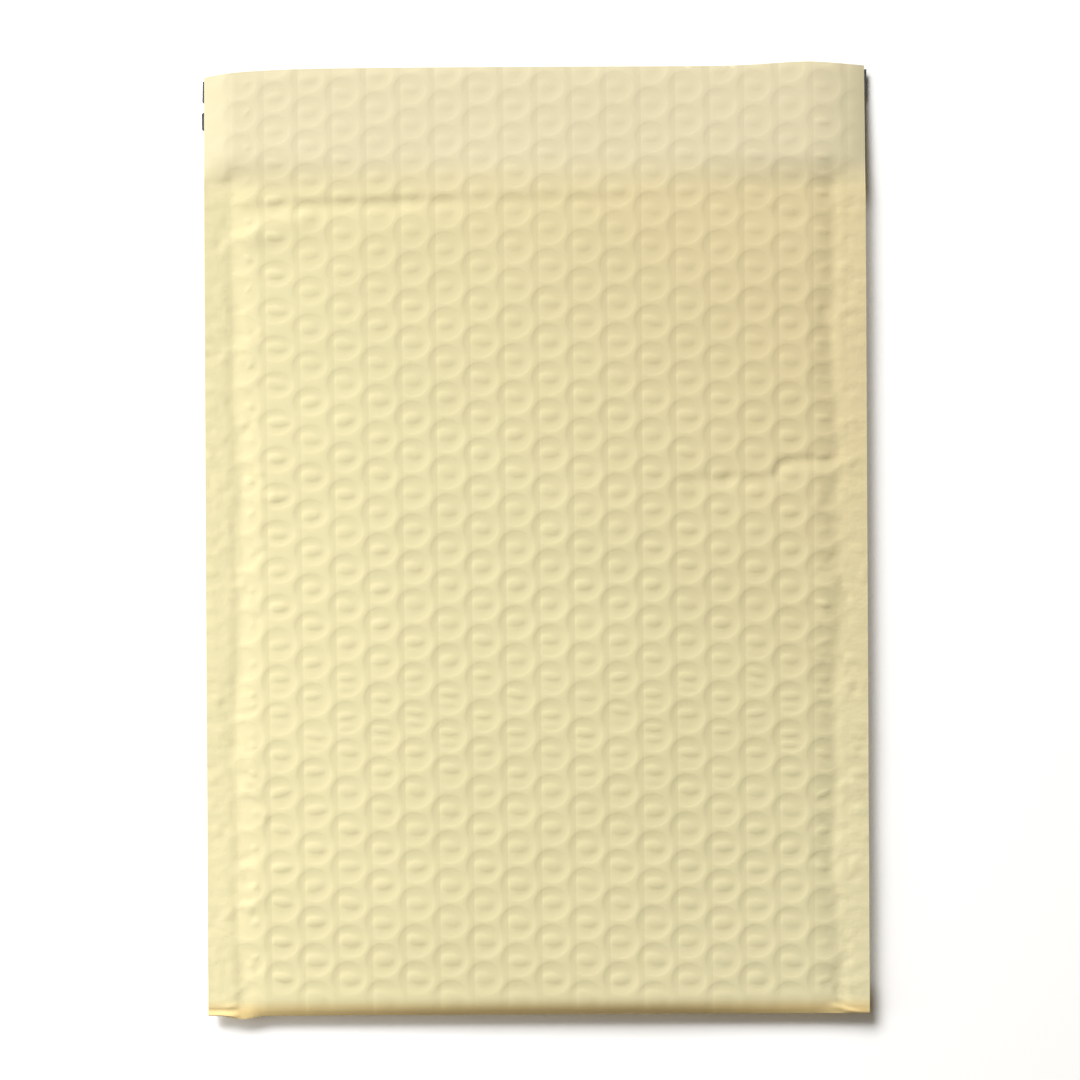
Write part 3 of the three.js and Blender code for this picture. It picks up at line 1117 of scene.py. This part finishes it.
table_net = bmesh.new()
bmesh.ops.create_grid(table_net, x_segments=1, y_segments=1, size=table_half_width)
bmesh.ops.translate(table_net, verts=table_net.verts, vec=(0, 0, -table_drop))
table_mesh = bpy.data.meshes.new("table")
table_net.to_mesh(table_mesh)
table_net.free()
table = bpy.data.objects.new("table", table_mesh)
bpy.context.scene.collection.objects.link(table)
print("table", 2 * table_half_width, "m wide")

# %% [markdown]
# Three shaders make up its finish. `plain` throws light back on the film, `seen` is what the camera
# sees near the mailer, and `white_sweep` takes over with the distance from the mailer's middle.

# %% White table
white = (1, 1, 1, 1)
plain_tone = (0.7, 0.69, 0.66, 1)
seen_tone = (1.33, 1.33, 1.33, 1)

table_finish, table_nodes, table_links, table_shader = new_finish("white_table")
table_nodes.remove(table_shader)
plain = table_nodes.new("ShaderNodeBsdfDiffuse")
plain.inputs["Color"].default_value = plain_tone
seen = table_nodes.new("ShaderNodeBsdfDiffuse")
seen.inputs["Color"].default_value = seen_tone
white_sweep = table_nodes.new("ShaderNodeEmission")
white_sweep.inputs["Color"].default_value = white
from_mailer = table_nodes.new("ShaderNodeVectorMath")
from_mailer.operation = "LENGTH"
table_links.new(table_nodes.new("ShaderNodeTexCoord").outputs["Object"], from_mailer.inputs[0])
far_away = smooth_range(table_nodes, table_links, from_mailer.outputs["Value"], sweep_start, sweep_end)
looks = mixed(table_nodes, table_links, far_away, seen.outputs["BSDF"], white_sweep.outputs["Emission"])
to_camera = shows_background(table_nodes, table_links)
surface = mixed(table_nodes, table_links, to_camera, plain.outputs["BSDF"], looks)
table_links.new(surface, table_nodes["Material Output"].inputs["Surface"])
table.data.materials.append(table_finish)
print("table finish:", len(table_nodes), "nodes")

# %% [markdown]
# ## The light
# A soft window from the upper left makes the marks read by their shade, and the shadow falls to the
# right and below. A smaller lamp close to the left makes that side brighter. The room is dim and
# warm, and shows as a white wall to the camera and in reflections only.

# %% Light
room_tone = (1, 0.84, 0.6, 1)
room_strength = 0.085


def soft_lamp(name, place, size, watts):
    lamp = bpy.data.lights.new(name, "AREA")
    lamp.shape = "RECTANGLE"
    lamp.size, lamp.size_y = size
    lamp.energy = watts
    holder = bpy.data.objects.new(name, lamp)
    holder.location = place
    holder.rotation_euler = Vector(place).to_track_quat("Z", "Y").to_euler()
    holder.visible_camera = False
    bpy.context.scene.collection.objects.link(holder)


soft_lamp("window", (-1.75, 3, 2.7), (2.4, 1.8), 230)
soft_lamp("side_lamp", (-0.294, -0.07, 0.189), (0.28, 0.28), 0.44)

world = bpy.data.worlds.new("room")
bpy.context.scene.world = world
world.use_nodes = True
room_nodes = world.node_tree.nodes
room_links = world.node_tree.links
dim_room = room_nodes["Background"]
dim_room.inputs["Color"].default_value = room_tone
dim_room.inputs["Strength"].default_value = room_strength
white_wall = room_nodes.new("ShaderNodeBackground")
white_wall.inputs["Color"].default_value = white
to_camera = shows_background(room_nodes, room_links)
walls = mixed(
    room_nodes, room_links, to_camera, dim_room.outputs["Background"], white_wall.outputs["Background"]
)
room_links.new(walls, room_nodes["World Output"].inputs["Surface"])
print("two lamps and a dim, warm room")

# %% [markdown]
# ## The camera
# The camera looks straight down through a long lens, so the sides of the mailer hardly show. Its
# distance follows from the width that the picture covers at the height of the mailer's edges.

# %% Camera
frame_width = 352.4 * MM
image_centre = (1.14 * MM, 0.49 * MM)
edge_height = 6 * MM
lens = 100
sensor = 36
camera_roll = math.radians(-0.29)
camera_data = bpy.data.cameras.new("camera")
camera_data.lens = lens
camera_data.sensor_width = sensor
camera_data.clip_end = 20
camera = bpy.data.objects.new("camera", camera_data)
camera.location = (*image_centre, edge_height + frame_width * lens / sensor)
camera.rotation_euler = (0, 0, camera_roll)
bpy.context.scene.collection.objects.link(camera)
bpy.context.scene.camera = camera
bpy.context.scene.view_settings.view_transform = "Standard"
print("camera", round(camera.location.z, 3), "m above the table")
